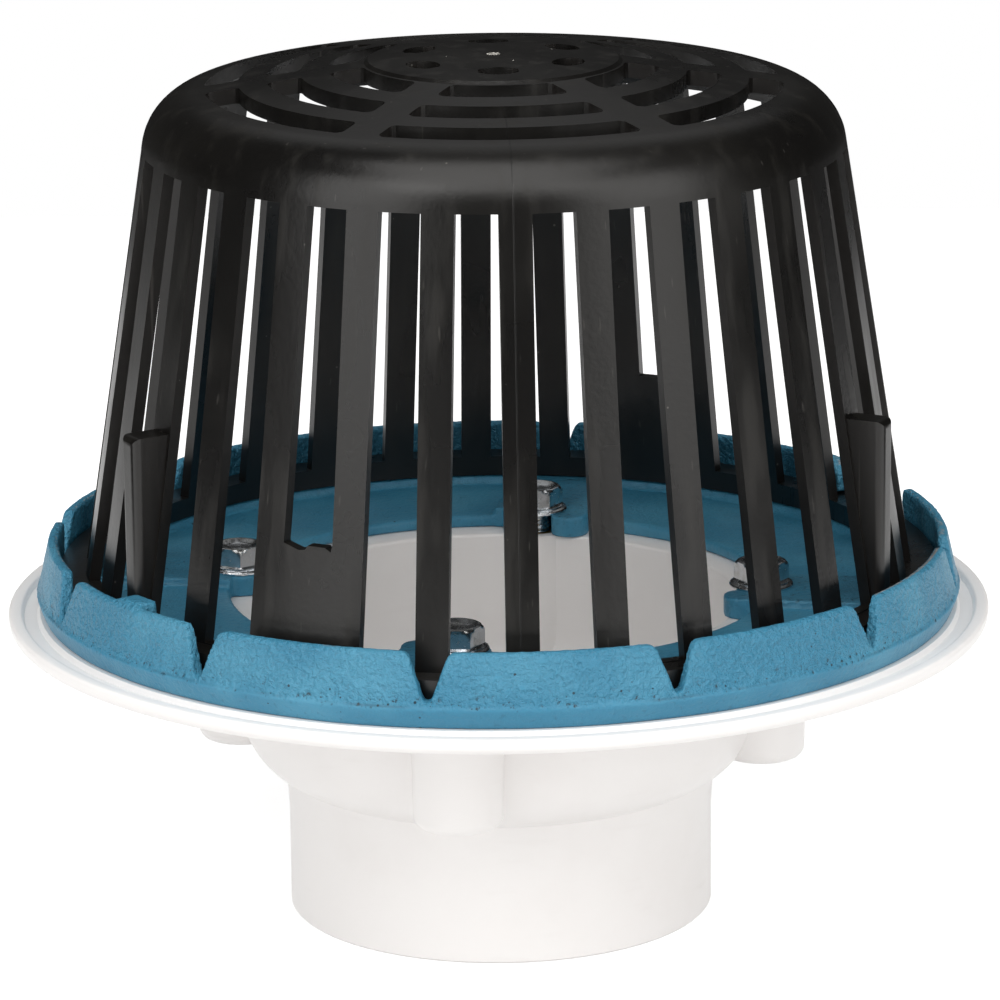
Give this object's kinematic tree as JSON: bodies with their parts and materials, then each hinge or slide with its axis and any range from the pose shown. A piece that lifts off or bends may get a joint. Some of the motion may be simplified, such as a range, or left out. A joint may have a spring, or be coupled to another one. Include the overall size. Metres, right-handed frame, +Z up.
{
  "type": "flat roof drain",
  "caption": "Flat roof drain: moulded bowl with a wide flange and outlet spigot, cast clamping ring with a notched rim, slotted dome strainer locked by a short twist.",
  "frame": {"origin": "centre of the outlet spigot's lower end, which is the bottom centre of the whole drain", "axes": "+Z up along the drain's axis; +Y away from the side shown in front; +X to the right of that side"},
  "size_m": [0.2628, 0.2628, 0.2323],
  "materials": {
    "body_plastic": "satin white moulded vinyl",
    "ring_cast_iron": "blue paint over sand-cast iron",
    "dome_plastic": "satin black moulded plastic",
    "zinc_steel": "bright zinc plate",
    "insert_brass": "machined"
  },
  "bodies": {
    "base": {"drain_body": "body_plastic", "clamp_ring": "ring_cast_iron", "bolt_front": "zinc_steel", "bolt_right": "zinc_steel", "bolt_back": "zinc_steel", "bolt_left": "zinc_steel", "insert_front": "insert_brass", "insert_right": "insert_brass", "insert_back": "insert_brass", "insert_left": "insert_brass"},
    "dome": {"dome_strainer": "dome_plastic"}
  },
  "joints": [
    {"name": "dome_twist", "type": "hinge", "parent": "base", "child": "dome", "pos_m": [0, 0, 0.0903], "axis": [0, 0, 1], "range_deg": [-26.7, 0]}
  ]
}
